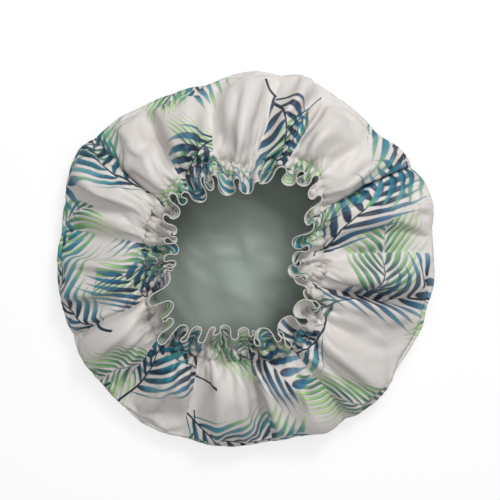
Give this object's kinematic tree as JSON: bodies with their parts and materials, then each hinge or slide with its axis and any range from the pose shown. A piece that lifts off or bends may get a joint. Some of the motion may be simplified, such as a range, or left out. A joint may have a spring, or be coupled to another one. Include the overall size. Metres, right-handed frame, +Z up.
{
  "type": "hair bonnet",
  "caption": "Double-layer satin hair bonnet with a gathered elastic mouth and a ruffled edge, lying on its crown; the mouth lifts to open the bag.",
  "frame": {"origin": "on the resting surface, under the middle of the bonnet's box", "axes": "+Z up out of the mouth, +X across the mouth's short side, +Y along its long side"},
  "size_m": [0.3404, 0.3374, 0.0661],
  "materials": {
    "printed_satin": "pearl satin with a palm-frond print in teal, blue, green and lime",
    "sage_satin": "plain sage-green satin",
    "elastic": "woven white elastic",
    "thread": "pale polyester thread"
  },
  "bodies": {
    "crown": {"outer_shell": "printed_satin", "lining": "sage_satin"},
    "mouth": {"outer_frill": "printed_satin", "lining_frill": "sage_satin", "elastic_band": "elastic", "elastic_join_stitch": "thread", "casing_stitch_body_side": "thread", "casing_stitch_frill_side": "thread", "edge_seam": "thread", "closing_stitch": "thread"}
  },
  "joints": [
    {"name": "mouth_lift", "type": "slide", "parent": "crown", "child": "mouth", "axis": [0, 0, 1], "range_m": [0, 0.04], "deforming": ["outer_shell", "lining"]}
  ]
}
